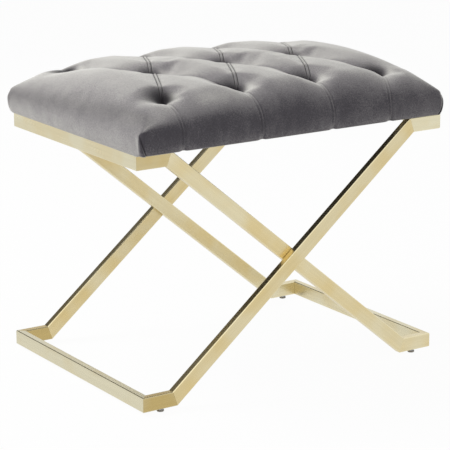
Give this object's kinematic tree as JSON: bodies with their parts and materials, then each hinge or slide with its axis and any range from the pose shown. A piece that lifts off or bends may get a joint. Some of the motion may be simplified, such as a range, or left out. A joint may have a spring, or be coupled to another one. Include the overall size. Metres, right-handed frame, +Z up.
{
  "type": "x frame stool",
  "caption": "Low stool on two crossing loops of brushed gold rectangular tube, with levelling glides and a padded seat in diamond-tufted grey velvet.",
  "frame": {"origin": "on the floor, under the middle of the seat", "axes": "+X along the seat's length, towards the end where the outer loop carries the seat; +Y across the seat, towards the rear; +Z up"},
  "size_m": [0.608, 0.446, 0.515],
  "materials": {
    "brushed_gold": "brushed steel tube with a pale gold plating, fine straight grain along each tube",
    "zinc_hardware": "bright zinc-plated fasteners",
    "glide_plastic": "moulded grey plastic",
    "plywood": "sanded plywood",
    "foam": "open-cell foam",
    "velvet": "short-pile grey velvet with a strong sheen",
    "black_cloth": "thin black non-woven cloth",
    "twine": "waxed upholstery twine"
  },
  "bodies": {
    "stool": {"outer_foot_rail": "brushed_gold", "outer_top_rail": "brushed_gold", "inner_foot_rail": "brushed_gold", "inner_top_rail": "brushed_gold", "outer_front_foot_return": "brushed_gold", "outer_front_leg": "brushed_gold", "outer_front_top_return": "brushed_gold", "outer_rear_foot_return": "brushed_gold", "outer_rear_leg": "brushed_gold", "outer_rear_top_return": "brushed_gold", "inner_front_foot_return": "brushed_gold", "inner_front_leg": "brushed_gold", "inner_front_top_return": "brushed_gold", "inner_rear_foot_return": "brushed_gold", "inner_rear_leg": "brushed_gold", "inner_rear_top_return": "brushed_gold", "seat_plate_front_left": "brushed_gold", "seat_plate_front_right": "brushed_gold", "seat_plate_rear_left": "brushed_gold", "seat_plate_rear_right": "brushed_gold", "seat_bolt_front_left": "zinc_hardware", "seat_bolt_front_right": "zinc_hardware", "seat_bolt_rear_left": "zinc_hardware", "seat_bolt_rear_right": "zinc_hardware", "seat_washer_front_left": "zinc_hardware", "seat_washer_front_right": "zinc_hardware", "seat_washer_rear_left": "zinc_hardware", "seat_washer_rear_right": "zinc_hardware", "seat_tee_nut_front_left": "zinc_hardware", "seat_tee_nut_front_right": "zinc_hardware", "seat_tee_nut_rear_left": "zinc_hardware", "seat_tee_nut_rear_right": "zinc_hardware", "glide_insert_front_left": "zinc_hardware", "glide_insert_front_right": "zinc_hardware", "glide_insert_rear_left": "zinc_hardware", "glide_insert_rear_right": "zinc_hardware", "seat_board": "plywood", "foam_pad": "foam", "velvet_cover": "velvet", "dust_cover": "black_cloth", "tuft_tie_front_1": "twine", "tuft_tie_front_2": "twine", "tuft_tie_front_3": "twine", "tuft_tie_front_4": "twine", "tuft_tie_middle_1": "twine", "tuft_tie_middle_2": "twine", "tuft_tie_middle_3": "twine", "tuft_tie_rear_1": "twine", "tuft_tie_rear_2": "twine", "tuft_tie_rear_3": "twine", "tuft_tie_rear_4": "twine"},
    "glide_front_left": {"glide_front_left": "glide_plastic"},
    "glide_front_right": {"glide_front_right": "glide_plastic"},
    "glide_rear_left": {"glide_rear_left": "glide_plastic"},
    "glide_rear_right": {"glide_rear_right": "glide_plastic"}
  },
  "joints": [
    {"name": "screw_out_front_left", "type": "slide", "parent": "stool", "child": "glide_front_left", "axis": [0, 0, -1], "range_m": [0, 0.008]},
    {"name": "screw_out_front_right", "type": "slide", "parent": "stool", "child": "glide_front_right", "axis": [0, 0, -1], "range_m": [0, 0.008]},
    {"name": "screw_out_rear_left", "type": "slide", "parent": "stool", "child": "glide_rear_left", "axis": [0, 0, -1], "range_m": [0, 0.008]},
    {"name": "screw_out_rear_right", "type": "slide", "parent": "stool", "child": "glide_rear_right", "axis": [0, 0, -1], "range_m": [0, 0.008]}
  ]
}
